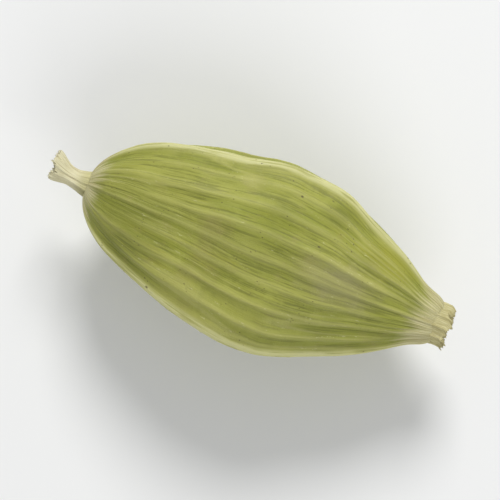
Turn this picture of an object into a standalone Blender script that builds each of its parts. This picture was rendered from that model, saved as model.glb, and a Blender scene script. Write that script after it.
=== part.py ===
# Dried green cardamom pod: a closed three-sided seed capsule, lying with one of its flattish faces up.
# X runs along the pod from its stalk to its tip and Z is up. The origin is the middle of the small
# flat spot that the pod rests on. All sizes are in metres.
import math

import bmesh
import bpy
from mathutils import Matrix, Vector, noise

# Size of the husk, without the stalk and the withered flower.
HUSK_LENGTH = 0.0163
HUSK_WIDTH = 0.0081
HUSK_HEIGHT = 0.0074

# Ribs: one mesh segment in four is a crest, and one rib in eight is a keel.
RIB_COUNT = 24
SEGMENTS_PER_RIB = 4
RING_COUNT = 48
RIB_HEIGHT = 0.00011
RIB_UNEVENNESS = 0.45
KEEL_HEIGHT = 0.00026
KEEL_SPREAD = math.radians(6)
FURROW_DEPTH = 0.00016
FURROW_SPREAD = math.radians(13)

# Outline from above: a full, round stalk end, a leaner taper to the tip and a blunt beak there.
STALK_END_POWER = 0.44
TIP_END_POWER = 0.82
LEAN_FROM = 0.35
LEAN_TO = 0.70
NECK_SHARE = 0.15
NECK_END = 0.05
BEAK_SHARE = 0.285
BEAK_START = 0.925
BLEND_POWER = 5

# Section: three rounded keels with flattish faces between them. One face is up, between two well formed
# keels, and the pod lies on the third keel, which is blunt.
TRIANGLE = 0.085
TRIANGLE_CORNER = 0.018
LOWER_BLUNTNESS = 0.6
LOWER_KEEL_SHARE = 0.3

# The unevenness of a dried fruit: a slight roll, twist and bend, wavering ribs and bumps over the seeds.
ROLL = math.radians(5)
TWIST = math.radians(9)
RIB_WAVER = math.radians(2.6)
RIB_WAVER_LENGTH = 0.0045
SIDE_BEND = 0.00012
RISE_BEND = -0.00004
SEED_BUMP = 0.00026
SEED_SIZE = 0.0023

# The flat spot that the pod rests on is cut this far above its lowest rib.
REST_CUT = 0.00028

# Stalk stub: bent towards +Y and a little up, wider at the husk and at its torn end.
STALK_LENGTH = 0.0015
STALK_ROOT = 0.0011
STALK_RADIUS = 0.00041
STALK_ROOT_RADIUS = 0.00064
STALK_TORN_RADIUS = 0.00058
STALK_SIDE = 0.00028
STALK_RISE = 0.00040

# Withered flower: a torn papery rim round the blunt end of the beak.
FLOWER_LENGTH = 0.00020
FLOWER_ROOT = 0.0008
FLOWER_RADIUS = 0.00086
FLOWER_TORN_RADIUS = 0.00091
FLOWER_SIDE = -0.00010

# Torn ends: how unevenly the rim breaks, and the pit where the pith has dried away.
TUBE_SIDES = 12
TUBE_RINGS = 8
TEAR_DEPTH = 0.00022
TEAR_FINENESS = 2600
PIT_SHARE = 0.6
PIT_DEPTH = 0.00010

SMOOTH_ANGLE = math.radians(60)


def clear_scene():
    for item in list(bpy.data.objects):
        bpy.data.objects.remove(item, do_unlink=True)


def make_collection(name):
    collection = bpy.data.collections.new(name)
    bpy.context.scene.collection.children.link(collection)
    return collection


def make_material(name, colour, roughness):
    material = bpy.data.materials.new(name)
    material.use_nodes = True
    shader = material.node_tree.nodes["Principled BSDF"]
    shader.inputs["Base Color"].default_value = (*colour, 1.0)
    shader.inputs["Roughness"].default_value = roughness
    shader.inputs["Metallic"].default_value = 0.0
    material.diffuse_color = (*colour, 1.0)
    return material


def ease(value, start, end):
    # 0 before start, 1 after end and a smooth step between them
    share = min(max((value - start) / (end - start), 0.0), 1.0)
    return share * share * (3.0 - 2.0 * share)


def blend_wider(first, second):
    # the wider of two radii, with a rounded change from one to the other
    return (first**BLEND_POWER + second**BLEND_POWER) ** (1.0 / BLEND_POWER)


def rounded_end(share):
    # 1 where an end begins, falling to 0 at its very tip like a blunt dome
    return math.sqrt(max(0.0, 1.0 - share**3))


def outline(along):
    # half width of the husk at a share of its length, 0 at the stalk and 1 at the tip
    power = STALK_END_POWER + (TIP_END_POWER - STALK_END_POWER) * ease(along, LEAN_FROM, LEAN_TO)
    width = math.sin(math.pi * along) ** power
    neck = NECK_SHARE * rounded_end(max(0.0, 1.0 - along / NECK_END))
    if along < NECK_END:
        width = blend_wider(width, neck)
    beak_end = max(0.0, (along - BEAK_START) / (1.0 - BEAK_START))
    beak = BEAK_SHARE * ease(along, 0.5, BEAK_START) * rounded_end(beak_end)
    return blend_wider(width, beak)


def angle_from_nearest(phase, count):
    # signed angle from the nearest of a number of equally spaced lines round the pod
    step = 2.0 * math.pi / count
    return phase - step * round(phase / step)


def rib_relief(phase, along, fullness):
    # height of the ribs and keels, and the depth of the furrow in the middle of each face
    rib_step = 2.0 * math.pi / RIB_COUNT
    rib_index = round(phase / rib_step) % RIB_COUNT
    across = abs(angle_from_nearest(phase, RIB_COUNT)) / rib_step * 2.0
    crest = (1.0 - across) ** 2
    uneven = noise.noise(Vector((rib_index * 3.7, along * 2.3, 0.5)))
    rib = RIB_HEIGHT * (1.0 + RIB_UNEVENNESS * 2.0 * uneven) * crest
    if rib_index % 2:
        # every second rib runs out before it reaches the ends
        rib *= ease(along, 0.04, 0.22) * (1.0 - ease(along, 0.78, 0.93))
    keel_angle = angle_from_nearest(phase, 3)
    keel = KEEL_HEIGHT * math.exp(-((keel_angle / KEEL_SPREAD) ** 2))
    if rib_index in (0, 1, RIB_COUNT - 1):
        keel *= LOWER_KEEL_SHARE
    face_angle = abs(keel_angle) - math.pi / 3.0
    furrow = FURROW_DEPTH * math.exp(-((face_angle / FURROW_SPREAD) ** 2)) * math.sin(math.pi * along)
    return (rib + keel) * min(1.0, 1.6 * fullness) - furrow


def shape_husk_point(around, along):
    # the husk's surface at an angle round it from the lower keel and a share of its length
    fullness = outline(along)
    x = HUSK_LENGTH * (along - 0.5)
    spot = Vector((x, math.cos(around) * HUSK_WIDTH / 2.0, math.sin(around) * HUSK_WIDTH / 2.0))
    waver = noise.noise(spot / RIB_WAVER_LENGTH) * math.sin(math.pi * along)
    angle = math.pi + around + ROLL + TWIST * (along - 0.5) + RIB_WAVER * 2.0 * waver
    three_sided = TRIANGLE * math.cos(3.0 * around) + TRIANGLE_CORNER * math.cos(6.0 * around)
    three_sided *= 1.0 - LOWER_BLUNTNESS * max(0.0, math.cos(around)) ** 2
    radius = HUSK_WIDTH / 2.0 * fullness * (1.0 + three_sided * math.sqrt(fullness))
    radius += rib_relief(around, along, fullness)
    radius += SEED_BUMP * noise.noise(spot / SEED_SIZE) * fullness
    centre_y = SIDE_BEND * math.sin(math.pi * along)
    centre_z = RISE_BEND * math.sin(2.0 * math.pi * along)
    return Vector((x, centre_y - math.sin(angle) * radius, centre_z + math.cos(angle) * radius))


def make_husk(collection):
    mesh = bpy.data.meshes.new("pod")
    shell = bmesh.new()
    segments = RIB_COUNT * SEGMENTS_PER_RIB
    bmesh.ops.create_uvsphere(shell, u_segments=segments, v_segments=RING_COUNT, radius=1.0)
    for vertex in shell.verts:
        around = math.atan2(vertex.co.y, vertex.co.x)
        along = min(max((1.0 - vertex.co.z) / 2.0, 0.0), 1.0)
        pole = vertex.co.xy.length < 0.001
        vertex.co = shape_husk_point(around, along)
        if pole:
            vertex.co.y = 0.0
            vertex.co.z = 0.0
    fit_to_size(shell)
    bmesh.ops.recalc_face_normals(shell, faces=shell.faces)
    shell.to_mesh(mesh)
    shell.free()
    husk = bpy.data.objects.new("pod", mesh)
    collection.objects.link(husk)
    return husk


def fit_to_size(shell):
    # the formula gives the form, and this sets its measured length, width and height
    target = Vector((HUSK_LENGTH, HUSK_WIDTH, HUSK_HEIGHT + REST_CUT))
    low = Vector([min(vertex.co[axis] for vertex in shell.verts) for axis in range(3)])
    high = Vector([max(vertex.co[axis] for vertex in shell.verts) for axis in range(3)])
    factor = Vector([target[axis] / (high[axis] - low[axis]) for axis in range(3)])
    bmesh.ops.scale(shell, vec=factor, verts=shell.verts)


def make_torn_tube(name, collection, start, root, length, bend, radii):
    # A short round piece that leaves an end of the husk: its root is sunk in the husk, and its free
    # end bends aside and breaks off unevenly round a shallow pit. Length is negative towards -X.
    body = bmesh.new()
    ring = bmesh.ops.create_circle(body, cap_ends=True, segments=TUBE_SIDES, radius=1.0)["verts"]
    bmesh.ops.rotate(body, cent=(0.0, 0.0, 0.0), matrix=Matrix.Rotation(math.pi / 2.0, 3, "Y"), verts=ring)
    direction = Vector((math.copysign(1.0, length), 0.0, 0.0))
    root_radius, middle_radius, torn_radius = radii
    radius = 1.0
    centre = Vector((0.0, 0.0, 0.0))
    for step in range(TUBE_RINGS + 1):
        share = step / TUBE_RINGS
        out = share * (abs(length) + root) - root
        bent = (max(0.0, out) / abs(length)) ** 2
        next_centre = start + direction * out + Vector((0.0, *bend)) * bent
        next_radius = root_radius + (middle_radius - root_radius) * ease(share, 0.2, 0.65)
        next_radius += (torn_radius - middle_radius) * ease(share, 0.7, 1.0)
        if step:
            ring = extrude_ring(body, ring)
        move_ring(body, ring, centre, next_centre, next_radius / radius)
        centre = next_centre
        radius = next_radius
    for vertex in ring:
        vertex.co += direction * TEAR_DEPTH * noise.noise(vertex.co * TEAR_FINENESS)
    ring = extrude_ring(body, ring)
    move_ring(body, ring, centre, centre, PIT_SHARE)
    ring = extrude_ring(body, ring)
    move_ring(body, ring, centre, centre - direction * PIT_DEPTH, PIT_SHARE)
    bmesh.ops.contextual_create(body, geom=ring)
    bmesh.ops.recalc_face_normals(body, faces=body.faces)
    mesh = bpy.data.meshes.new(name)
    body.to_mesh(mesh)
    body.free()
    collection.objects.link(bpy.data.objects.new(name, mesh))


def extrude_ring(body, ring):
    members = set(ring)
    edges = [edge for edge in body.edges if members.issuperset(edge.verts)]
    grown = bmesh.ops.extrude_edge_only(body, edges=edges)["geom"]
    return [item for item in grown if isinstance(item, bmesh.types.BMVert)]


def move_ring(body, ring, centre, next_centre, factor):
    bmesh.ops.translate(body, vec=next_centre - centre, verts=ring)
    around_centre = Matrix.Translation(-next_centre)
    bmesh.ops.scale(body, vec=(1.0, factor, factor), space=around_centre, verts=ring)


def fuse(base, pieces):
    # one solid from the husk and what grew on it
    union = base.modifiers.new("grown together", "BOOLEAN")
    union.operation = "UNION"
    union.operand_type = "COLLECTION"
    union.collection = pieces
    union.solver = "EXACT"
    depsgraph = bpy.context.evaluated_depsgraph_get()
    joined = bpy.data.meshes.new_from_object(base.evaluated_get(depsgraph))
    base.modifiers.clear()
    base.data = joined
    for piece in list(pieces.objects):
        bpy.data.objects.remove(piece, do_unlink=True)
    bpy.data.collections.remove(pieces)


def cut_rest_spot(solid):
    # cuts the lowest ribs off flat and moves the middle of that flat to the origin
    body = bmesh.new()
    body.from_mesh(solid.data)
    lowest = min(vertex.co.z for vertex in body.verts)
    floor = Vector((0.0, 0.0, lowest + REST_CUT))
    geometry = body.verts[:] + body.edges[:] + body.faces[:]
    down = (0.0, 0.0, -1.0)
    cut = bmesh.ops.bisect_plane(body, geom=geometry, plane_co=floor, plane_no=down, clear_outer=True)
    rim = [item for item in cut["geom_cut"] if isinstance(item, bmesh.types.BMEdge)]
    spot = bmesh.ops.contextual_create(body, geom=rim)["faces"][0]
    centre = spot.calc_center_median_weighted()
    bmesh.ops.translate(body, vec=-centre, verts=body.verts)
    bmesh.ops.recalc_face_normals(body, faces=body.faces)
    body.to_mesh(solid.data)
    body.free()


def colour_pod(solid):
    # green husk, with the straw of the stalk and of the beak at its two ends
    mesh = solid.data
    mesh.materials.clear()
    mesh.materials.append(make_material("green_husk", (0.33, 0.34, 0.085), 0.6))
    mesh.materials.append(make_material("dry_straw", (0.62, 0.57, 0.36), 0.8))
    high = max(vertex.co.x for vertex in mesh.vertices) - FLOWER_LENGTH
    beak_line = high - HUSK_LENGTH * (1.0 - BEAK_START)
    stalk_line = high - HUSK_LENGTH
    for polygon in mesh.polygons:
        dry = polygon.center.x > beak_line or polygon.center.x < stalk_line
        polygon.material_index = int(dry)
    mesh.shade_smooth()
    mesh.set_sharp_from_angle(angle=SMOOTH_ANGLE)


def build_pod():
    clear_scene()
    pod_collection = make_collection("cardamom_pod")
    grown_on = make_collection("stalk_and_flower")
    husk = make_husk(pod_collection)
    stalk_end = Vector((-HUSK_LENGTH / 2.0, 0.0, 0.0))
    flower_end = Vector((HUSK_LENGTH / 2.0, 0.0, 0.0))
    stalk_bend = (STALK_SIDE, STALK_RISE)
    flower_bend = (FLOWER_SIDE, 0.0)
    stalk_radii = (STALK_ROOT_RADIUS, STALK_RADIUS, STALK_TORN_RADIUS)
    flower_radii = (FLOWER_RADIUS, FLOWER_RADIUS, FLOWER_TORN_RADIUS)
    make_torn_tube("stalk", grown_on, stalk_end, STALK_ROOT, -STALK_LENGTH, stalk_bend, stalk_radii)
    make_torn_tube("flower", grown_on, flower_end, FLOWER_ROOT, FLOWER_LENGTH, flower_bend, flower_radii)
    fuse(husk, grown_on)
    cut_rest_spot(husk)
    colour_pod(husk)


build_pod()
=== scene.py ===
import math

import bmesh
import bpy
from mathutils import Matrix, Vector, noise


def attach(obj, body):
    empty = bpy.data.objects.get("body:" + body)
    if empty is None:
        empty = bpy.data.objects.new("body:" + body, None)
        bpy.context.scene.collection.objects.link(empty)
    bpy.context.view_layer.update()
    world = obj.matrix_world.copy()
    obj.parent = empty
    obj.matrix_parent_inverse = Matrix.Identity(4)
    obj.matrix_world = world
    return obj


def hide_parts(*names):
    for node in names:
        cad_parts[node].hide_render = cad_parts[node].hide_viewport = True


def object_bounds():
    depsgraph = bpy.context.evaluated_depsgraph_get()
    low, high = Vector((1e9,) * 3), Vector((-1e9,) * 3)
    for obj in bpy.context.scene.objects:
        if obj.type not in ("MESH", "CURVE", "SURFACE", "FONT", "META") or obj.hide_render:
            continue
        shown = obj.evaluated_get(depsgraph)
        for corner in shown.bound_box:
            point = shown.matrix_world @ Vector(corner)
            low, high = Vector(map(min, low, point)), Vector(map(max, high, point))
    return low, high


# A dried green cardamom pod on a pale floor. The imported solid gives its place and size, and the pieces
# here give it the fine skin, the fibres of the stalk and the papery scrap of the flower.
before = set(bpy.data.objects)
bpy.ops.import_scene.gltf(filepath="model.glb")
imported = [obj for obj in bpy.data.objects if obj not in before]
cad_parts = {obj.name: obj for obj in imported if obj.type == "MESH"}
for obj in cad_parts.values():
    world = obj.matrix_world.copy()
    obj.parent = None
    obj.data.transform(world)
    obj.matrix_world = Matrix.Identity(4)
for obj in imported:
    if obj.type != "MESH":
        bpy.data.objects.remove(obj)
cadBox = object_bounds()
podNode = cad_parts["pod"]
print("frame loaded, box in mm:", [[round(value * 1000, 2) for value in corner] for corner in cadBox])

# The pod's form, as in the solid that it covers. Lengths are in metres and angles in radians.
podForm = {
    "length": 0.0163,
    "width": 0.0081,
    "height": 0.0074,
    "restCut": 0.00028,
    "ribCount": 24,
    "solidSegmentsPerRib": 4,
    "solidRings": 48,
    "ribHeight": 0.00011,
    "ribUnevenness": 0.45,
    "ribNoise": (3.7, 2.3, 0.5),  # step from rib to rib, scale along the pod, and a shift
    "oddRibIn": (0.04, 0.22),  # every other rib rises and dies out between these shares of the length
    "oddRibOut": (0.78, 0.93),
    "reliefFill": 1.6,  # the relief is full where the pod is wider than 1 / 1.6 of its width
    "keelHeight": 0.00026,
    "keelSpread": math.radians(6),
    "furrowDepth": 0.00016,
    "furrowSpread": math.radians(13),
    "stalkEndPower": 0.44,
    "tipEndPower": 0.82,
    "leanFrom": 0.35,  # shares of the length, from the stalk
    "leanTo": 0.70,
    "neckShare": 0.15,
    "neckEnd": 0.05,
    "beakShare": 0.285,
    "beakFrom": 0.5,
    "beakStart": 0.925,
    "blendPower": 5,
    "triangle": 0.085,
    "triangleCorner": 0.018,
    "lowerBluntness": 0.6,
    "lowerKeelShare": 0.3,
    "roll": math.radians(5),
    "twist": math.radians(9),
    "ribWaver": math.radians(2.6),
    "ribWaverLength": 0.0045,
    "sideBend": 0.00012,
    "riseBend": -0.00004,
    "seedBump": 0.00026,
    "seedSize": 0.0023,
}


def ease(value, start, end):  # 0 before start, 1 after end, smooth between
    share = min(max((value - start) / (end - start), 0.0), 1.0)
    return share * share * (3.0 - 2.0 * share)


def blendWider(first, second):  # the wider of two radii, rounded where they meet
    power = podForm["blendPower"]
    return (first**power + second**power) ** (1.0 / power)


def roundedEnd(share):
    return math.sqrt(max(0.0, 1.0 - share**3))


def podOutline(along):  # half width at a share of the length, 0 at the stalk
    lean = ease(along, podForm["leanFrom"], podForm["leanTo"])
    power = podForm["stalkEndPower"] + (podForm["tipEndPower"] - podForm["stalkEndPower"]) * lean
    width = max(0.0, math.sin(math.pi * along)) ** power
    neckEnd = podForm["neckEnd"]
    if along < neckEnd:
        width = blendWider(width, podForm["neckShare"] * roundedEnd(max(0.0, 1.0 - along / neckEnd)))
    beakStart = podForm["beakStart"]
    beakEnd = max(0.0, (along - beakStart) / (1.0 - beakStart))
    beak = podForm["beakShare"] * ease(along, podForm["beakFrom"], beakStart)
    return blendWider(width, beak * roundedEnd(beakEnd))


def angleFromNearest(angle, count):  # from the nearest of some lines spaced evenly round the pod
    step = 2.0 * math.pi / count
    return angle - step * round(angle / step)


def ribShare(around):  # the nearest rib's number, and 0 on its crest to 1 in the valley
    step = 2.0 * math.pi / podForm["ribCount"]
    across = abs(angleFromNearest(around, podForm["ribCount"])) / step * 2.0
    return round(around / step) % podForm["ribCount"], across


def ribFade(ribIndex, along):  # 1 for an even rib, less towards the ends for an odd one
    if ribIndex % 2 == 0:
        return 1.0
    return ease(along, *podForm["oddRibIn"]) * (1.0 - ease(along, *podForm["oddRibOut"]))


def keelShare(around):  # 1 on the line of a keel, less on the blunt one that the pod lies on
    share = math.exp(-((angleFromNearest(around, 3) / podForm["keelSpread"]) ** 2))
    onLowerKeel = ribShare(around)[0] in (0, 1, podForm["ribCount"] - 1)
    return share * podForm["lowerKeelShare"] if onLowerKeel else share


def furrowShare(around):  # 1 in the middle of a face
    faceAngle = abs(angleFromNearest(around, 3)) - math.pi / 3.0
    return math.exp(-((faceAngle / podForm["furrowSpread"]) ** 2))


def mainRelief(around, along, fullness, crest):  # ribs, keels and the furrow along each face
    ribIndex, _ = ribShare(around)
    ribStep, alongScale, shift = podForm["ribNoise"]
    uneven = noise.noise(Vector((ribIndex * ribStep, along * alongScale, shift)))
    rib = podForm["ribHeight"] * (1.0 + podForm["ribUnevenness"] * 2.0 * uneven)
    rib *= crest
    rib *= ribFade(ribIndex, along)
    keel = podForm["keelHeight"] * keelShare(around)
    furrow = podForm["furrowDepth"] * furrowShare(around) * math.sin(math.pi * along)
    return (rib + keel) * min(1.0, podForm["reliefFill"] * fullness) - furrow


def podPoint(around, along, crest, detail, sideStep):  # detail is added height, sideStep an added angle
    fullness = podOutline(along)
    halfWidth = podForm["width"] / 2.0
    x = podForm["length"] * (along - 0.5)
    spot = Vector((x, math.cos(around) * halfWidth, math.sin(around) * halfWidth))
    waver = noise.noise(spot / podForm["ribWaverLength"]) * math.sin(math.pi * along)
    angle = math.pi + around + podForm["roll"] + podForm["twist"] * (along - 0.5)
    angle += podForm["ribWaver"] * 2.0 * waver + sideStep
    threeSided = podForm["triangle"] * math.cos(3.0 * around)
    threeSided += podForm["triangleCorner"] * math.cos(6.0 * around)
    threeSided *= 1.0 - podForm["lowerBluntness"] * max(0.0, math.cos(around)) ** 2
    radius = halfWidth * fullness * (1.0 + threeSided * math.sqrt(fullness))
    radius += mainRelief(around, along, fullness, crest) + detail
    radius += podForm["seedBump"] * noise.noise(spot / podForm["seedSize"]) * fullness
    centreY = podForm["sideBend"] * math.sin(math.pi * along)
    centreZ = podForm["riseBend"] * math.sin(2.0 * math.pi * along)
    return Vector((x, centreY - math.sin(angle) * radius, centreZ + math.cos(angle) * radius))


def findSolidPlace():  # scale and shift that lay the formula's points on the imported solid
    segments = podForm["ribCount"] * podForm["solidSegmentsPerRib"]
    points = []
    for ring in range(1, podForm["solidRings"]):
        along = (1.0 - math.cos(math.pi * ring / podForm["solidRings"])) / 2.0
        for segment in range(segments):
            around = 2.0 * math.pi * segment / segments
            around = math.atan2(math.sin(around), math.cos(around))
            _, across = ribShare(around)
            points.append(podPoint(around, along, (1.0 - across) ** 2, 0.0, 0.0))
    ends = [Vector((-podForm["length"] / 2.0, 0.0, 0.0)), Vector((podForm["length"] / 2.0, 0.0, 0.0))]
    size = (podForm["length"], podForm["width"], podForm["height"] + podForm["restCut"])
    low = [min(point[axis] for point in points + ends) for axis in range(3)]
    high = [max(point[axis] for point in points + ends) for axis in range(3)]
    scale = Vector([size[axis] / (high[axis] - low[axis]) for axis in range(3)])
    widest = max(points, key=lambda point: point.y)  # this point is a vertex of the solid too
    solidWidest = max((vertex.co for vertex in podNode.data.vertices), key=lambda place: place.y)
    return scale, solidWidest - widest * scale


podScale, podShift = findSolidPlace()
print("fine skin laid on the solid: scale", [round(value, 4) for value in podScale])

# The skin's fine relief over the form above. Heights are in metres.
skinLook = {
    "segmentsPerRib": 16,
    "rings": 250,
    "crestRounding": 0.10,
    "lineSharpness": 3.2,  # of fibres
    "veinHeight": 0.000040,
    "veinWidth": 0.22,  # as a share of half a rib's width
    "veinGate": (-0.15, 0.35),  # veins come in as their gate's noise rises between these values
    "fibreHeight": 0.000034,
    "fibreGate": (-0.3, 0.3),
    "fibreLeast": 0.45,  # of a fibre's height where its gate is shut
    "fineFibreHeight": 0.000017,
    "wrinkleHeight": 0.000034,
    "wrinkleGate": (-0.2, 0.4),
    "wrinkleLeast": 0.35,  # of a wrinkle's height on a crest
    "fineWrinkleShare": 0.6,
    "shrinkHeight": 0.000070,
    "wartHeight": 0.000026,
    "wartReach": 0.18,
    "detailFill": 2.2,  # as reliefFill, for all of these heights
    "waverFine": math.radians(0.8),
    "waverFill": 3.0,
    "restFlatSoftness": 0.00002,
    "restFlatScale": 900.0,
    "poleReach": 0.0001,  # from the axis of the unit ball that the skin is laid from
    "tipHollow": 0.00035,  # the beak's end is drawn in behind the flower's rim
    "tipHollowReach": (0.00075, 0.00045),  # distance from the axis where it begins and where it is full
}

# Each pattern's scale round the pod and along it, and a shift that sets it apart from the others.
skinPatterns = {
    "veinGate": (4.0, 7.0, 0.0),
    "fibreGate": (2.1, 3.0, 4.0),
    "fibre": (7.5, 2.6, 0.0),
    "fineFibre": (17.0, 5.0, 3.0),
    "wrinkleGate": (1.7, 4.0, 9.0),
    "wrinkle": (3.2, 38.0, 0.0),
    "fineWrinkle": (5.1, 71.0, 3.0),
    "shrink": (1.9, 7.0, 2.0),
    "warts": (9.0, 26.0, 0.0),
    "fineWaver": (2.6, 14.0, 5.0),
}


def patternPlace(name, around, along):
    roundScale, alongScale, shift = skinPatterns[name]
    first = math.cos(around) * roundScale + shift
    return Vector((first, math.sin(around) * roundScale, along * alongScale))


def patternNoise(name, around, along):
    return noise.noise(patternPlace(name, around, along))


def softCrest(across):  # a rib's section with its crest rounded
    rounding = skinLook["crestRounding"]
    across = math.sqrt(across * across + rounding * rounding) - rounding
    return (1.0 - min(across, 1.0)) ** 2


def thinLines(value):  # 1 on the lines where a noise crosses 0, and 0 between them
    return 1.0 - min(1.0, skinLook["lineSharpness"] * abs(value))


def skinDetail(around, along, across, fullness):  # height of veins, fibres, wrinkles, dents and warts
    vein = ease(patternNoise("veinGate", around, along), *skinLook["veinGate"])
    vein *= math.exp(-(((1.0 - across) / skinLook["veinWidth"]) ** 2))
    fibre = thinLines(patternNoise("fibre", around, along))
    fibreGate = ease(patternNoise("fibreGate", around, along), *skinLook["fibreGate"])
    fibre *= skinLook["fibreLeast"] + (1.0 - skinLook["fibreLeast"]) * fibreGate
    fineFibre = thinLines(patternNoise("fineFibre", around, along))
    wrinkle = patternNoise("wrinkle", around, along)
    wrinkle += skinLook["fineWrinkleShare"] * patternNoise("fineWrinkle", around, along)
    wrinkleGate = ease(patternNoise("wrinkleGate", around, along), *skinLook["wrinkleGate"])
    onCrest = skinLook["wrinkleLeast"]
    wrinkle *= wrinkleGate * (onCrest + (1.0 - onCrest) * across * across)
    distances, _ = noise.voronoi(patternPlace("warts", around, along))
    wart = 1.0 - ease(distances[0], 0.0, skinLook["wartReach"])
    height = skinLook["veinHeight"] * vein + skinLook["wartHeight"] * wart
    height += skinLook["fibreHeight"] * fibre + skinLook["fineFibreHeight"] * fineFibre
    height += skinLook["wrinkleHeight"] * wrinkle
    height += skinLook["shrinkHeight"] * patternNoise("shrink", around, along)
    return height * min(1.0, skinLook["detailFill"] * fullness), wrinkle, fibre


def linkPiece(body, name):  # turns finished mesh work into an object of the scene
    mesh = bpy.data.meshes.new(name)
    body.to_mesh(mesh)
    body.free()
    mesh.shade_smooth()
    piece = bpy.data.objects.new(name, mesh)
    bpy.context.scene.collection.objects.link(piece)
    return piece


skinValues = ("crest", "keel", "furrow", "along", "hollow", "fibre")  # what the colours follow


def layVertex(vertex, layers, grainLayer):  # moves a point of a unit ball to its place on the skin
    around = math.atan2(vertex.co.y, vertex.co.x)
    along = min(max((1.0 - vertex.co.z) / 2.0, 0.0), 1.0)
    atPole = vertex.co.xy.length < skinLook["poleReach"]
    ribIndex, across = ribShare(around)
    crest = softCrest(across)
    fullness = podOutline(along)
    detail, wrinkle, fibre = skinDetail(around, along, across, fullness)
    sideStep = skinLook["waverFine"] * patternNoise("fineWaver", around, along)
    sideStep *= min(1.0, skinLook["waverFill"] * fullness)
    place = podPoint(around, along, crest, detail, sideStep)
    if atPole:
        place = Vector((place.x, 0.0, 0.0))
    if along > 0.5:
        place.x -= skinLook["tipHollow"] * ease(place.yz.length, *skinLook["tipHollowReach"])
    place = place * podScale + podShift
    if place.z < 0.0:
        place.z = skinLook["restFlatSoftness"] * noise.noise(place * skinLook["restFlatScale"]) ** 2
    vertex.co = place
    furrow = furrowShare(around) * math.sin(math.pi * along)
    hollow = max(0.0, -wrinkle)
    values = (crest * ribFade(ribIndex, along), keelShare(around), furrow, along, hollow, fibre)
    for name, value in zip(skinValues, values):
        vertex[layers[name]] = value
    vertex[grainLayer] = Vector((along, math.cos(around), math.sin(around)))


def makeHuskSkin():
    skin = bmesh.new()
    layers = {name: skin.verts.layers.float.new(name) for name in skinValues}
    grainLayer = skin.verts.layers.float_vector.new("grain")
    segments = podForm["ribCount"] * skinLook["segmentsPerRib"]
    bmesh.ops.create_uvsphere(skin, u_segments=segments, v_segments=skinLook["rings"], radius=1.0)
    for vertex in skin.verts:
        layVertex(vertex, layers, grainLayer)
    bmesh.ops.recalc_face_normals(skin, faces=skin.faces)
    return linkPiece(skin, "huskSkin")


# Colours of the pod, as linear red, green and blue.
podColours = {
    "leafGreen": (0.268, 0.288, 0.034),
    "paleGreen": (0.368, 0.376, 0.070),
    "yellowGreen": (0.345, 0.335, 0.030),
    "deepOlive": (0.135, 0.145, 0.018),
    "crestPale": (0.485, 0.472, 0.145),
    "paleForKeelHighlightAndScuffs": (0.640, 0.625, 0.300),
    "tanPatch": (0.318, 0.275, 0.088),
    "greyPatch": (0.330, 0.295, 0.145),
    "straw": (0.660, 0.615, 0.340),
    "strawDark": (0.430, 0.375, 0.165),
    "cream": (0.740, 0.700, 0.470),
    "creamDark": (0.520, 0.450, 0.250),
    "strawGreen": (0.515, 0.480, 0.225),
    "pith": (0.330, 0.255, 0.125),
    "speck": (0.070, 0.048, 0.018),
}

# Noise that runs with the fibres: scale along the pod and round it, detail and roughness.
huskGrain = {
    "band": (3.2, 3.0, 4.0, 0.6),
    "streak": (6.0, 11.0, 5.0, 0.6),
    "thread": (9.0, 46.0, 3.0, 0.55),
    "scuff": (48.0, 30.0, 4.0, 0.7),
    "cells": (70.0, 120.0, 3.0, 0.6),
    "crinkle": (190.0, 16.0, 3.0, 0.6),
}

# Noise that runs the same every way: scale a metre, detail and roughness.
huskBlotches = {
    "patch": (300.0, 4.0, 0.55),
    "mottle": (1400.0, 4.0, 0.6),
    "speckGate": (1100.0, 2.0, 0.5),
    "pores": (9000.0, 2.0, 0.5),
}

# Coats of colour in the order they are laid: what a coat follows, where it begins and where it is full,
# how much of it covers what is under it, and its colour.
groundCoats = (
    ("streak", 0.52, 0.72, 0.55, "yellowGreen"),
    ("thread", 0.53, 0.36, 0.62, "deepOlive"),
    ("patch", 0.54, 0.70, 0.55, "tanPatch"),
    ("patch", 0.46, 0.30, 0.40, "deepOlive"),
    ("mottle", 0.55, 0.75, 0.35, "tanPatch"),
    ("mottle", 0.45, 0.28, 0.35, "paleGreen"),
)
reliefColoursAndPaintedLight = (
    # painted shade: darker olive down the furrow in the middle of each face
    ("furrow", 0.0, 1.0, 0.28, "deepOlive"),
    ("crest", 0.25, 1.0, 0.34, "crestPale"),
    ("fibre", 0.40, 0.92, 0.44, "crestPale"),
    # pale keels: partly their own paler colour, partly a painted highlight along their top line as if
    # light caught them
    ("keel", 0.12, 0.75, 0.42, "crestPale"),
    ("keelHighlightLine", 0.0, 1.0, 0.85, "paleForKeelHighlightAndScuffs"),
    # painted shade: darker olive in the hollows of the wrinkles
    ("hollow", 0.10, 0.60, 0.16, "deepOlive"),
    ("rubbed", 0.0, 1.0, 0.55, "paleForKeelHighlightAndScuffs"),
)

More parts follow.
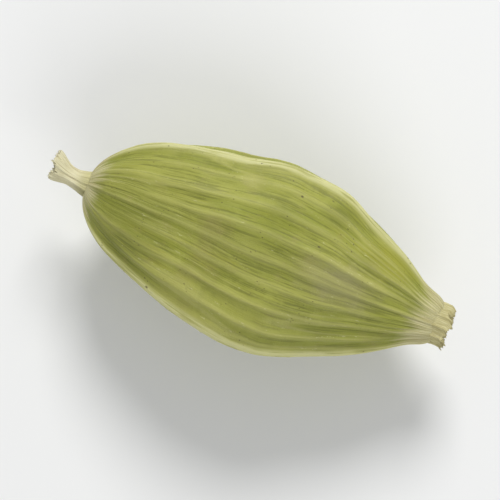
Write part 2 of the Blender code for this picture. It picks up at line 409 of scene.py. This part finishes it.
# Broad soft patches of the upper face: colour, middle and reach in metres, most of the colour. The pale
# green patch on the -Y flank is painted light, brightening the side that the key light leaves darker;
# the others are the pod's own tone.
tonePatchesAndPaintedLight = (
    ("greyPatch", (0.0036, -0.0002, 0.0070), (0.0021, 0.0011, 0.0030), 0.62),
    ("yellowGreen", (0.0055, 0.0015, 0.0060), (0.0016, 0.0010, 0.0030), 0.60),
    # painted light: a pale patch that brightens the -Y flank, which the key light leaves darker
    ("paleGreen", (-0.0010, -0.0028, 0.0060), (0.0042, 0.0013, 0.0030), 0.80),
    ("leafGreen", (-0.0026, 0.0028, 0.0060), (0.0040, 0.0011, 0.0030), 0.45),
    ("deepOlive", (-0.0054, -0.0009, 0.0055), (0.0022, 0.0020, 0.0035), 0.30),
    ("deepOlive", (0.0026, 0.0025, 0.0060), (0.0009, 0.0006, 0.0025), 0.42),
)

# Specks are drawn out along the fibres: how many cells there are over the pod, a speck's size in its
# cell, and the noise above which it is let in.
huskSpecks = ((28.0, 0.15, 0.57), (66.0, 0.20, 0.54))

# Pairs of noise or attribute values are where a change begins and where it is full.
huskFinish = {
    "greenBand": (0.36, 0.64),
    "patchRaggedness": 1.2,
    "patchEdge": (1.8, 0.8),  # in reaches of the patch from its middle, with the raggedness on top
    # where the painted highlight on the keels' top line comes in, and how the threads break it
    "keelTop": (0.42, 1.0),
    "keelThread": (0.34, 0.58, 0.25, 1.0),  # and the shares between which it changes the line
    "rubbedScuff": (0.60, 0.70),
    "rubbedFibre": (0.10, 0.80, 0.25, 1.0),
    "tipStraw": (0.885, 0.955),  # shares of the length between which the skin turns to straw
    "stalkStraw": (0.050, 0.008),
    "strawRaggedness": 0.16,
    "strawThread": (0.36, 0.60),
    "strawMost": 0.92,
    "speckMost": 0.80,
    "speckStretch": 0.4,
    "speckCore": 0.4,  # the share of a speck that is darkest
    "speckGateWidth": 0.08,
    "roughnessStreak": (0.3, 0.7),
    "roughness": (0.66, 0.50),
    "specular": 0.36,
    "subsurface": 0.08,
    "subsurfaceRadius": (1.0, 0.9, 0.3),
    "subsurfaceScale": 0.0004,
    "sheen": 0.16,
    "sheenRoughness": 0.45,
    "sheenTint": (0.93, 0.93, 0.65),
    "bumpStrength": 0.85,
    "bumpDistance": 0.000035,
    "bumpShares": {"pores": 0.25, "cells": 0.5, "thread": 0.8, "crinkle": 0.45},
}

nodeSpacing = 200
nodesInRow = 14


def addNode(tree, kind, **settings):  # nodes are set out in rows, in the order they are made
    row, place = divmod(len(tree.nodes), nodesInRow)
    node = tree.nodes.new(kind)
    node.location = (nodeSpacing * (place - nodesInRow), -nodeSpacing * row)
    for name, value in settings.items():
        setattr(node, name, value)
    return node


def feed(tree, socket, value):  # a socket takes a number, a colour or another node's output
    if isinstance(value, bpy.types.NodeSocket):
        tree.links.new(value, socket)
    elif isinstance(value, tuple) and socket.type == "RGBA":
        socket.default_value = (*value, 1.0)
    else:
        socket.default_value = value


def feedInputs(tree, node, values):  # values by the names of the node's inputs
    for name, value in values.items():
        feed(tree, node.inputs[name], value)


def readAttribute(tree, name, output):
    return addNode(tree, "ShaderNodeAttribute", attribute_name=name).outputs[output]


def addNoise(tree, vector, scale, detail, roughness):
    node = addNode(tree, "ShaderNodeTexNoise")
    feedInputs(tree, node, {"Vector": vector, "Scale": scale, "Detail": detail, "Roughness": roughness})
    return node.outputs["Fac"]


def grainNoise(tree, grain, alongScale, roundScale, detail, roughness):
    stretched = scaleVector(tree, grain, (alongScale, roundScale, roundScale))
    return addNoise(tree, stretched, 1.0, detail, roughness)


def remap(tree, value, start, end, toStart=0.0, toEnd=1.0):
    node = addNode(tree, "ShaderNodeMapRange", interpolation_type="SMOOTHSTEP")
    feedInputs(tree, node, {"Value": value, "From Min": start, "From Max": end})
    feedInputs(tree, node, {"To Min": toStart, "To Max": toEnd})
    return node.outputs["Result"]


def mathNode(tree, operation, *values):
    node = addNode(tree, "ShaderNodeMath", operation=operation)
    for socket, value in zip(node.inputs, values):
        feed(tree, socket, value)
    return node.outputs["Value"]


def mixColour(tree, share, first, second):
    node = addNode(tree, "ShaderNodeMix", data_type="RGBA")
    sockets = {socket.identifier: socket for socket in node.inputs}
    for name, value in (("Factor_Float", share), ("A_Color", first), ("B_Color", second)):
        feed(tree, sockets[name], value)
    return next(socket for socket in node.outputs if socket.identifier == "Result_Color")


def mixShare(tree, share, most, first, second):  # the second colour, at most this much of it
    return mixColour(tree, mathNode(tree, "MULTIPLY", share, most), first, second)


def scaleVector(tree, vector, scale):
    node = addNode(tree, "ShaderNodeMapping")
    node.inputs["Scale"].default_value = scale
    tree.links.new(vector, node.inputs["Vector"])
    return node.outputs["Vector"]


def patchShare(tree, objectPlace, mottle, middle, reach):  # 1 in a patch, 0 beyond its ragged edge
    scaled = addNode(tree, "ShaderNodeMapping", vector_type="TEXTURE")
    scaled.inputs["Location"].default_value = middle
    scaled.inputs["Scale"].default_value = reach
    tree.links.new(objectPlace, scaled.inputs["Vector"])
    distance = addNode(tree, "ShaderNodeVectorMath", operation="LENGTH")
    tree.links.new(scaled.outputs["Vector"], distance.inputs[0])
    raggedness = huskFinish["patchRaggedness"]
    ragged = mathNode(tree, "MULTIPLY_ADD", mottle, raggedness, distance.outputs["Value"])
    return remap(tree, ragged, *huskFinish["patchEdge"])


def addBump(tree, shader, height, strength, distance):
    bump = addNode(tree, "ShaderNodeBump")
    feedInputs(tree, bump, {"Strength": strength, "Distance": distance, "Height": height})
    tree.links.new(bump.outputs["Normal"], shader.inputs["Normal"])


def readHusk(tree, objectPlace, grain):  # everything that the husk's colours follow, by name
    signals = {name: readAttribute(tree, name, "Fac") for name in skinValues}
    for name, settings in huskGrain.items():
        signals[name] = grainNoise(tree, grain, *settings)
    for name, settings in huskBlotches.items():
        signals[name] = addNoise(tree, objectPlace, *settings)
    # a painted highlight along the top line of each keel, broken by the threads
    keelTop = remap(tree, signals["keel"], *huskFinish["keelTop"])
    keelThread = remap(tree, signals["thread"], *huskFinish["keelThread"])
    signals["keelHighlightLine"] = mathNode(tree, "MULTIPLY", keelTop, keelThread)
    rubbedScuff = remap(tree, signals["scuff"], *huskFinish["rubbedScuff"])
    rubbedFibre = remap(tree, signals["fibre"], *huskFinish["rubbedFibre"])
    signals["rubbed"] = mathNode(tree, "MULTIPLY", rubbedScuff, rubbedFibre)
    return signals


def layCoats(tree, signals, colour, coats):
    for follows, start, full, most, coat in coats:
        share = remap(tree, signals[follows], start, full)
        colour = mixShare(tree, share, most, colour, podColours[coat])
    return colour


def layPatches(tree, signals, colour, objectPlace):
    for coat, middle, reach, most in tonePatchesAndPaintedLight:
        share = patchShare(tree, objectPlace, signals["mottle"], middle, reach)
        colour = mixShare(tree, share, most, colour, podColours[coat])
    return colour


def addSpecks(tree, signals, colour, grain):
    for cellScale, size, gate in huskSpecks:
        across = cellScale * huskFinish["speckStretch"]
        cells = addNode(tree, "ShaderNodeTexVoronoi")
        cells.inputs["Scale"].default_value = 1.0
        tree.links.new(scaleVector(tree, grain, (cellScale, across, across)), cells.inputs["Vector"])
        spot = remap(tree, cells.outputs["Distance"], size, size * huskFinish["speckCore"])
        letIn = remap(tree, signals["speckGate"], gate, gate + huskFinish["speckGateWidth"])
        share = mathNode(tree, "MULTIPLY", spot, letIn)
        colour = mixShare(tree, share, huskFinish["speckMost"], colour, podColours["speck"])
    return colour


def turnEndsToStraw(tree, signals, colour):  # straw runs out into the green along the fibres
    ragged = mathNode(tree, "SUBTRACT", signals["streak"], 0.5)
    ragged = mathNode(tree, "MULTIPLY", ragged, huskFinish["strawRaggedness"])
    tipPlace = mathNode(tree, "ADD", signals["along"], ragged)
    stalkPlace = mathNode(tree, "SUBTRACT", signals["along"], ragged)
    fromTip = remap(tree, tipPlace, *huskFinish["tipStraw"])
    fromStalk = remap(tree, stalkPlace, *huskFinish["stalkStraw"])
    share = mathNode(tree, "MAXIMUM", fromTip, fromStalk)
    tone = remap(tree, signals["thread"], *huskFinish["strawThread"])
    straw = mixColour(tree, tone, podColours["strawDark"], podColours["straw"])
    return mixShare(tree, share, huskFinish["strawMost"], colour, straw)


def makeHuskMaterial():
    material = bpy.data.materials.new("driedHusk")
    material.use_nodes = True
    tree = material.node_tree
    shader = tree.nodes["Principled BSDF"]
    objectPlace = addNode(tree, "ShaderNodeTexCoord").outputs["Object"]
    grain = readAttribute(tree, "grain", "Vector")
    signals = readHusk(tree, objectPlace, grain)

    # green in bands and streaks, patches with painted light on the -Y flank, relief picked out in pale
    # and dark with painted shade in the furrows and wrinkle hollows and a painted highlight on the
    # keels, specks and straw ends
    band = remap(tree, signals["band"], *huskFinish["greenBand"])
    colour = mixColour(tree, band, podColours["leafGreen"], podColours["paleGreen"])
    colour = layCoats(tree, signals, colour, groundCoats)
    colour = layPatches(tree, signals, colour, objectPlace)
    colour = layCoats(tree, signals, colour, reliefColoursAndPaintedLight)
    colour = addSpecks(tree, signals, colour, grain)
    colour = turnEndsToStraw(tree, signals, colour)
    tree.links.new(colour, shader.inputs["Base Color"])

    roughness = remap(tree, signals["streak"], *huskFinish["roughnessStreak"], *huskFinish["roughness"])
    tree.links.new(roughness, shader.inputs["Roughness"])
    shader.inputs["Specular IOR Level"].default_value = huskFinish["specular"]
    shader.inputs["Subsurface Weight"].default_value = huskFinish["subsurface"]
    shader.inputs["Subsurface Radius"].default_value = huskFinish["subsurfaceRadius"]
    shader.inputs["Subsurface Scale"].default_value = huskFinish["subsurfaceScale"]
    shader.inputs["Sheen Weight"].default_value = huskFinish["sheen"]
    shader.inputs["Sheen Roughness"].default_value = huskFinish["sheenRoughness"]
    shader.inputs["Sheen Tint"].default_value = (*huskFinish["sheenTint"], 1.0)

    # the skin's own grain: long cells, threads, crinkles and fine pores
    height = 0.0
    for name, share in huskFinish["bumpShares"].items():
        height = mathNode(tree, "MULTIPLY_ADD", signals[name], share, height)
    addBump(tree, shader, height, huskFinish["bumpStrength"], huskFinish["bumpDistance"])
    return material


huskSkin = makeHuskSkin()
huskSkin.data.materials.append(makeHuskMaterial())
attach(huskSkin, "root")
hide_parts("pod")
print("husk skin made:", len(huskSkin.data.polygons), "faces")

# The stalk stub and the flower's papery rim, placed as in the solid. Both end in torn fibres.
stalkLook = {
    "along": 0.0,  # at this share of the pod's length
    "length": -0.0015,  # outside the husk, towards -X
    "root": 0.0011,  # inside the husk
    "side": 0.00028,
    "rise": 0.00040,
    "radii": (0.00064, 0.00038, 0.00060),  # at the root, in the middle and at the torn end
    "sides": 192,
    "rings": 70,
    "grooves": 3.0,
    "grooveDepth": 0.000045,
    "pleatHeight": 0.000030,
    "threads": 11.0,
    "threadHeight": 0.000022,
    "lobes": 1.5,
    "lobeLength": 0.00010,
    "tears": 4.5,
    "tearLength": 0.00015,
    "frays": 13.0,
    "frayLength": 0.00005,
    "splinters": 9.0,
    "splinterLength": 0.00005,
    "curls": 2.5,
    "curlHeight": 0.00006,
    "tornFrom": 0.80,
    "splay": 0.28,
    "followBend": 1.0,  # how far the torn fibres turn with the bend
    "innerCalm": 0.84,  # how much less torn the middle of the end is than its edge
    "pit": 0.00007,
    "wallShare": 0.70,
    "pithMost": 0.12,
    "fibreScale": (2.0, 14.0),  # of the colours, along and round
    "fibreTone": (0.30, 0.54),
    "huskTone": (0.66, 0.42),  # shares of the tube between which it takes on the husk's tone
    "huskToneMost": 0.80,
}
flowerLook = {
    "along": 1.0,
    "length": 0.00020,
    "root": 0.0008,
    "side": -0.00010,
    "rise": 0.0,
    "radii": (0.00086, 0.00086, 0.00087),
    "sides": 240,
    "rings": 44,
    "grooves": 1.6,
    "grooveDepth": 0.000050,
    "pleatHeight": 0.000085,
    "threads": 20.0,
    "threadHeight": 0.000018,
    "lobes": 1.9,
    "lobeLength": 0.00012,
    "tears": 4.5,
    "tearLength": 0.00008,
    "frays": 13.0,
    "frayLength": 0.00006,
    "splinters": 12.0,
    "splinterLength": 0.00004,
    "curls": 3.5,
    "curlHeight": 0.00006,
    "tornFrom": 0.62,
    "splay": 0.05,
    "followBend": 0.2,
    "innerCalm": 0.6,
    "pit": 0.00030,
    "wallShare": 0.90,
    "pithMost": 0.60,
    "fibreScale": (2.0, 30.0),
    "fibreTone": (0.41, 0.66),
    "huskTone": (0.94, 0.80),
    "huskToneMost": 0.15,
}

# What both tubes share.
tornTube = {
    "narrowing": (0.2, 0.65),  # shares of the tube between which it narrows, and then flares
    "flaring": (0.7, 1.0),
    "edgeRings": 3,  # of the mesh, over the wall's edge, down the pit's side and over its floor
    "sideRings": 6,
    "floorRings": 8,
    "pitTaper": 0.22,
    "floorDome": 0.25,
    "calmReach": 0.45,  # from the edge inwards, as a share of the torn radius
    "pithFrom": (0.0, 0.6),  # shares of the pit's depth
    "axisReach": 0.02,  # this near the axis nothing is moved
    "grooveDrift": 1.2,  # how fast grooves and threads change along the tube
    "threadDrift": 2.0,
}

# Shifts that set the torn end's noises apart.
tornShifts = {"curl": 5.0, "lobe": 3.0, "tear": 7.0, "fray": 1.0, "splinter": 11.0}


def extrudeRing(body, ring):
    members = set(ring)
    edges = [edge for edge in body.edges if members.issuperset(edge.verts)]
    grown = bmesh.ops.extrude_edge_only(body, edges=edges)["geom"]
    return [item for item in grown if isinstance(item, bmesh.types.BMVert)]


def moveRing(body, ring, centre, nextCentre, factor):
    bmesh.ops.translate(body, vec=nextCentre - centre, verts=ring)
    bmesh.ops.scale(body, vec=(1.0, factor, factor), space=Matrix.Translation(-nextCentre), verts=ring)


def tubeSection(look, start, outward, share):  # centre and radius at a share of the tube
    length, root = abs(look["length"]), look["root"]
    rootRadius, middleRadius, tornRadius = look["radii"]
    out = share * (length + root) - root
    bent = (max(0.0, out) / length) ** 2
    centre = start + outward * out + Vector((0.0, look["side"], look["rise"])) * bent
    radius = rootRadius + (middleRadius - rootRadius) * ease(share, *tornTube["narrowing"])
    return centre, radius + (tornRadius - middleRadius) * ease(share, *tornTube["flaring"])


def makeTornTube(name, start, look):
    tornRadius = look["radii"][2]
    outward = Vector((math.copysign(1.0, look["length"]), 0.0, 0.0))
    quarterTurn = Matrix.Rotation(math.pi / 2.0, 3, "Y")
    body = bmesh.new()
    torn = body.verts.layers.float.new("torn")
    inside = body.verts.layers.float.new("inside")
    grainLayer = body.verts.layers.float_vector.new("grain")
    ring = bmesh.ops.create_circle(body, cap_ends=True, segments=look["sides"], radius=1.0)["verts"]
    bmesh.ops.rotate(body, cent=(0.0, 0.0, 0.0), matrix=quarterTurn, verts=ring)
    centre, radius = Vector((0.0, 0.0, 0.0)), 1.0
    for step in range(look["rings"] + 1):
        share = step / look["rings"]
        nextCentre, nextRadius = tubeSection(look, start, outward, share)
        if step:
            ring = extrudeRing(body, ring)
        moveRing(body, ring, centre, nextCentre, nextRadius / radius)
        centre, radius = nextCentre, nextRadius
        for vertex in ring:
            turn = (vertex.co - centre) / radius
            vertex[torn] = ease(share, look["tornFrom"], 1.0)
            vertex[grainLayer] = Vector((share, turn.y, turn.z))
    rim = centre.copy()
    for share, depth in pitSteps(look):  # over the rim and down to the pit's floor
        ring = extrudeRing(body, ring)
        nextCentre = rim - outward * look["pit"] * depth
        moveRing(body, ring, centre, nextCentre, share * tornRadius / radius)
        centre, radius = nextCentre, share * tornRadius
        for vertex in ring:
            vertex[torn] = 1.0 - look["innerCalm"] * ease(1.0 - share, 0.0, tornTube["calmReach"])
            vertex[inside] = ease(depth, *tornTube["pithFrom"])
            vertex[grainLayer] = Vector((1.0 + depth, *((vertex.co - centre) / tornRadius).yz))
    bmesh.ops.contextual_create(body, geom=ring)
    for vertex in body.verts:
        roughenTornTube(vertex, look, outward, vertex[torn], vertex[grainLayer])
        vertex.co += podShift
    bmesh.ops.recalc_face_normals(body, faces=body.faces)
    return linkPiece(body, name)


def pitSteps(look):  # shares of the torn radius, and of the pit's depth, from the rim to the middle
    wall, taper, dome = look["wallShare"], tornTube["pitTaper"], tornTube["floorDome"]
    edge, side, floor = tornTube["edgeRings"], tornTube["sideRings"], tornTube["floorRings"]
    steps = [(1.0 - (1.0 - wall) * step / edge, 0.0) for step in range(1, edge + 1)]
    steps += [(wall * (1.0 - taper * step / side), step / side) for step in range(1, side + 1)]
    floorShare = wall * (1.0 - taper)
    for step in range(1, floor + 1):
        steps.append((floorShare * (1.0 - step / (floor + 1)), 1.0 - dome * step / floor))
    return steps


def turnNoise(turn, scale, shift):  # noise over the tube's section, the same all along a fibre
    return noise.noise(turn * scale + Vector((0.0, 0.0, shift)))


def roughenTornTube(vertex, look, outward, torn, grain):  # pleats, fibres and the torn edge
    turn = Vector((grain.y, grain.z, 0.0))
    if turn.length < tornTube["axisReach"]:
        return
    side = turn.normalized()
    twist = podForm["twist"] * (look["along"] - 0.5)
    ribIndex, across = ribShare(math.atan2(-side.x, side.y) - math.pi - podForm["roll"] - twist)
    pleat = softCrest(across) if ribIndex % 2 == 0 else 0.0
    push = look["pleatHeight"] * pleat
    push += look["grooveDepth"] * turnNoise(side, look["grooves"], grain.x * tornTube["grooveDrift"])
    thread = thinLines(turnNoise(side, look["threads"], grain.x * tornTube["threadDrift"]))
    push += look["threadHeight"] * thread
    push += look["curlHeight"] * torn * turnNoise(side, look["curls"], tornShifts["curl"] + grain.x)
    vertex.co.y += side.x * push * min(1.0, turn.length)
    vertex.co.z += side.y * push * min(1.0, turn.length)
    pull = look["lobeLength"] * turnNoise(turn, look["lobes"], tornShifts["lobe"])
    pull += look["tearLength"] * turnNoise(turn, look["tears"], tornShifts["tear"])
    pull += look["frayLength"] * turnNoise(turn, look["frays"], tornShifts["fray"])
    splinter = thinLines(turnNoise(turn, look["splinters"], tornShifts["splinter"]))
    pull += look["splinterLength"] * (splinter - 0.5)
    lean = Vector((0.0, look["side"], look["rise"])) * 2.0 * look["followBend"] / abs(look["length"])
    vertex.co += (outward + lean + Vector((0.0, side.x, side.y)) * look["splay"]) * pull * 2.0 * torn


strawFinish = {
    "fibreNoise": (5.0, 0.62),  # detail and roughness
    "stainNoise": (1500.0, 3.0, 0.5),  # scale a metre, detail and roughness
    "stainEdge": (0.56, 0.76),
    "stainMost": 0.4,
    "roughnessFibre": (0.3, 0.7),
    "roughness": (0.85, 0.65),
    "specular": 0.3,
    "bumpStrength": 0.6,
    "bumpDistance": 0.00003,
}


def makeStrawMaterial(name, look, pale, dark):  # dry fibres, browner inside the torn end
    material = bpy.data.materials.new(name)
    material.use_nodes = True
    tree = material.node_tree
    shader = tree.nodes["Principled BSDF"]
    objectPlace = addNode(tree, "ShaderNodeTexCoord").outputs["Object"]
    grain = readAttribute(tree, "grain", "Vector")
    fibre = grainNoise(tree, grain, *look["fibreScale"], *strawFinish["fibreNoise"])
    tone = remap(tree, fibre, *look["fibreTone"])
    colour = mixColour(tree, tone, podColours[dark], podColours[pale])
    stain = addNoise(tree, objectPlace, *strawFinish["stainNoise"])
    stained = remap(tree, stain, *strawFinish["stainEdge"])
    colour = mixShare(tree, stained, strawFinish["stainMost"], colour, podColours[dark])
    along = addNode(tree, "ShaderNodeSeparateXYZ")
    tree.links.new(grain, along.inputs["Vector"])
    nearHusk = remap(tree, along.outputs["X"], *look["huskTone"])
    colour = mixShare(tree, nearHusk, look["huskToneMost"], colour, podColours["strawGreen"])
    inside = readAttribute(tree, "inside", "Fac")
    colour = mixShare(tree, inside, look["pithMost"], colour, podColours["pith"])
    tree.links.new(colour, shader.inputs["Base Color"])
    roughness = remap(tree, fibre, *strawFinish["roughnessFibre"], *strawFinish["roughness"])
    tree.links.new(roughness, shader.inputs["Roughness"])
    shader.inputs["Specular IOR Level"].default_value = strawFinish["specular"]
    addBump(tree, shader, fibre, strawFinish["bumpStrength"], strawFinish["bumpDistance"])
    return material


halfLength = podForm["length"] / 2.0
stalkStub = makeTornTube("stalkStub", Vector((-halfLength, 0.0, 0.0)), stalkLook)
flowerRim = makeTornTube("flowerRim", Vector((halfLength, 0.0, 0.0)), flowerLook)
stalkStub.data.materials.append(makeStrawMaterial("stalkFibre", stalkLook, "cream", "creamDark"))
flowerRim.data.materials.append(makeStrawMaterial("dryStraw", flowerLook, "straw", "strawDark"))
for piece in (stalkStub, flowerRim):
    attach(piece, "root")
print("stalk stub and flower rim made")

# The floor, lights and camera.
studio = {
    "floorSide": 0.9,
    "floorColour": (0.86, 0.86, 0.85),
    "floorRoughness": 0.7,
    "worldColour": (0.95, 0.97, 1.0),
    "worldStrength": 0.38,
    "keyPower": 0.79,
    "keySide": 0.13,
    "keyPlace": (-0.06, 0.24, 0.22),
    "fillPower": 0.32,
    "fillSide": 0.22,
    "fillPlace": (0.16, -0.17, 0.20),
    "cameraTurn": math.radians(21.6),
    "cameraDistance": 0.19,
    "cameraClip": (0.005, 5.0),
    "lens": 322.0,
}


def makeFloor():
    body = bmesh.new()
    bmesh.ops.create_grid(body, x_segments=1, y_segments=1, size=studio["floorSide"] / 2.0)
    floor = linkPiece(body, "floor")
    material = bpy.data.materials.new("paleFloor")
    material.use_nodes = True
    shader = material.node_tree.nodes["Principled BSDF"]
    shader.inputs["Base Color"].default_value = (*studio["floorColour"], 1.0)
    shader.inputs["Roughness"].default_value = studio["floorRoughness"]
    floor.data.materials.append(material)


def makeLight(name, place, target, side, power):
    light = bpy.data.lights.new(name, "AREA")
    light.shape = "DISK"
    light.size = side
    light.energy = power
    lamp = bpy.data.objects.new(name, light)
    lamp.location = place
    lamp.rotation_euler = (Vector(target) - Vector(place)).to_track_quat("-Z", "Y").to_euler()
    bpy.context.scene.collection.objects.link(lamp)


def makeWorld():
    world = bpy.data.worlds.new("studio")
    bpy.context.scene.world = world
    world.use_nodes = True
    background = world.node_tree.nodes["Background"]
    background.inputs["Color"].default_value = (*studio["worldColour"], 1.0)
    background.inputs["Strength"].default_value = studio["worldStrength"]


def makeCamera(target):
    camera = bpy.data.cameras.new("camera")
    camera.lens = studio["lens"]
    camera.clip_start, camera.clip_end = studio["cameraClip"]
    holder = bpy.data.objects.new("camera", camera)
    holder.location = target + Vector((0.0, 0.0, studio["cameraDistance"]))
    holder.rotation_euler = (0.0, 0.0, studio["cameraTurn"])
    bpy.context.scene.collection.objects.link(holder)
    bpy.context.scene.camera = holder


podCentre = (Vector(cadBox[0]) + Vector(cadBox[1])) / 2.0
makeFloor()
makeWorld()
makeLight("key", studio["keyPlace"], podCentre, studio["keySide"], studio["keyPower"])
makeLight("fill", studio["fillPlace"], podCentre, studio["fillSide"], studio["fillPower"])
makeCamera(podCentre)
bpy.context.scene.view_settings.view_transform = "Standard"
print("floor, lights and camera made")

bpy.context.view_layer.update()
